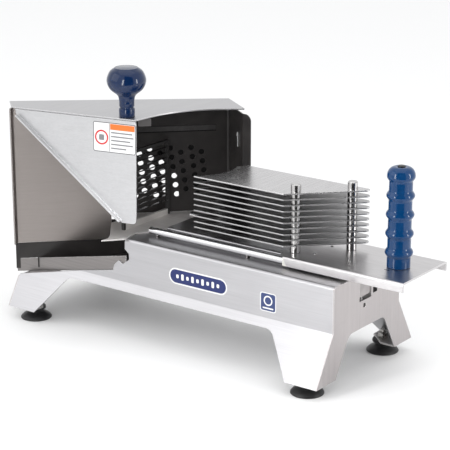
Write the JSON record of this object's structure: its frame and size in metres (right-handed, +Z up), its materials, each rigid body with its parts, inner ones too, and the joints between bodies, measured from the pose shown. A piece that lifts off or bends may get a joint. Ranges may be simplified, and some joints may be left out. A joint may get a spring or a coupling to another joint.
{
  "type": "vegetable slicer",
  "caption": "Push-through horizontal vegetable slicer: sliding stacked-plate pusher with grip, blade cartridge, lift-off guard with knob, folded steel base on suction feet.",
  "frame": {"origin": "on the table under the middle of the overall box", "axes": "+X along the slide towards the grip, -Y is the operator side, +Z up"},
  "size_m": [0.514, 0.191, 0.307],
  "materials": {
    "stainless": "brushed along the length",
    "pusher_plate": "fine brushed",
    "blade_steel": "ground",
    "rod_chrome": "polished",
    "fastener": "bright",
    "guard_steel": "fine brushed",
    "guard_wall": "dull brushed",
    "black_guard": "gloss black",
    "foot_rubber": "matte",
    "grip_blue": "gloss",
    "knob_blue": "gloss",
    "cap_black": "matte",
    "runner_plastic": "machined",
    "cartridge_frame": "satin black",
    "latch_grey": "moulded"
  },
  "bodies": {
    "base": {"base_channel": "stainless", "blade_01": "blade_steel", "blade_02": "blade_steel", "blade_03": "blade_steel", "blade_04": "blade_steel", "blade_05": "blade_steel", "blade_06": "blade_steel", "blade_07": "blade_steel", "blade_08": "blade_steel", "blade_09": "blade_steel", "blade_10": "blade_steel", "blade_11": "blade_steel", "cartridge_bottom_bar": "cartridge_frame", "cartridge_post_front": "cartridge_frame", "cartridge_post_rear": "cartridge_frame", "cartridge_top_bar": "cartridge_frame", "chute_cheeks": "stainless", "end_plate_left": "stainless", "end_plate_right": "stainless", "floor_plate": "stainless", "food_table": "stainless", "foot_bolts": "fastener", "foot_nuts": "fastener", "foot_plates": "stainless", "guide_rod_front": "rod_chrome", "guide_rod_rear": "rod_chrome", "latch_bracket": "stainless", "latch_spring": "fastener", "outfeed_back": "black_guard", "outfeed_chute": "black_guard", "rod_standoffs": "rod_chrome", "suction_feet": "foot_rubber"},
    "pusher": {"grip": "grip_blue", "grip_cap": "cap_black", "grip_stud": "fastener", "post_spacers": "fastener", "pusher_base": "stainless", "pusher_plate_01": "pusher_plate", "pusher_plate_02": "pusher_plate", "pusher_plate_03": "pusher_plate", "pusher_plate_04": "pusher_plate", "pusher_plate_05": "pusher_plate", "pusher_plate_06": "pusher_plate", "pusher_plate_07": "pusher_plate", "pusher_plate_08": "pusher_plate", "pusher_plate_09": "pusher_plate", "pusher_plate_10": "pusher_plate", "pusher_post_front": "fastener", "pusher_post_rear": "fastener", "pusher_runner_front": "runner_plastic", "pusher_runner_rear": "runner_plastic"},
    "guard": {"guard_backing": "black_guard", "guard_cover": "guard_steel", "guard_front_panel": "guard_steel", "guard_knob": "knob_blue", "guard_rear_wall": "guard_wall", "knob_screw": "fastener", "perforated_guard": "black_guard"},
    "latch": {"latch_block": "latch_grey"}
  },
  "joints": [
    {"name": "pusher_slide", "type": "slide", "parent": "base", "child": "pusher", "axis": [-1, 0, 0], "range_m": [0, 0.125]},
    {"name": "guard_lift", "type": "slide", "parent": "base", "child": "guard", "axis": [0, 0, 1], "range_m": [0, 0.14]},
    {"name": "latch_press", "type": "slide", "parent": "base", "child": "latch", "axis": [0, 0, -1], "range_m": [0, 0.004], "stiffness_N_per_m": 200, "springref_m": -0.01, "deforming": ["latch_spring"]}
  ]
}
